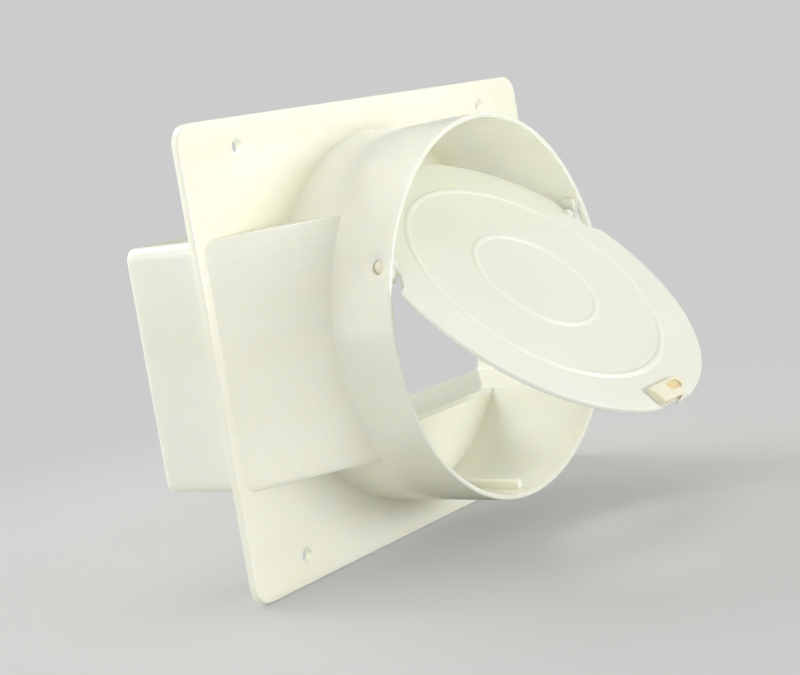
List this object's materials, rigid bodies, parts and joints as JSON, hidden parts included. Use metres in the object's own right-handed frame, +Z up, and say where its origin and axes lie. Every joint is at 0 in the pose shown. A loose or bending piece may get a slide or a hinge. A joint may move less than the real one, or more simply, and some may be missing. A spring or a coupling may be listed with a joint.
{
  "type": "duct adapter with backdraft flap",
  "caption": "Wall plate joining a flat rectangular duct spigot to a round duct collar, with a hinged disc flap in the collar that opens outward with the air flow.",
  "frame": {"origin": "on the collar's axis, at the plate's wall face", "axes": "+X along the plate's width, +Y into the wall along the duct, +Z up"},
  "size_m": [0.222, 0.1604, 0.176],
  "materials": {
    "body_plastic": "glossy moulded",
    "flap_plastic": "milky, satin",
    "holder_plastic": "satin",
    "weight": "satin"
  },
  "bodies": {
    "adapter": {"adapter_body": "body_plastic"},
    "flap": {"flap": "flap_plastic", "weight_holder": "holder_plastic", "weight_plate": "weight"}
  },
  "joints": [
    {"name": "flap_hinge", "type": "hinge", "parent": "adapter", "child": "flap", "pos_m": [0, -0.0495, 0.027], "axis": [-1, 0, 0], "range_deg": [-47, 38]}
  ]
}
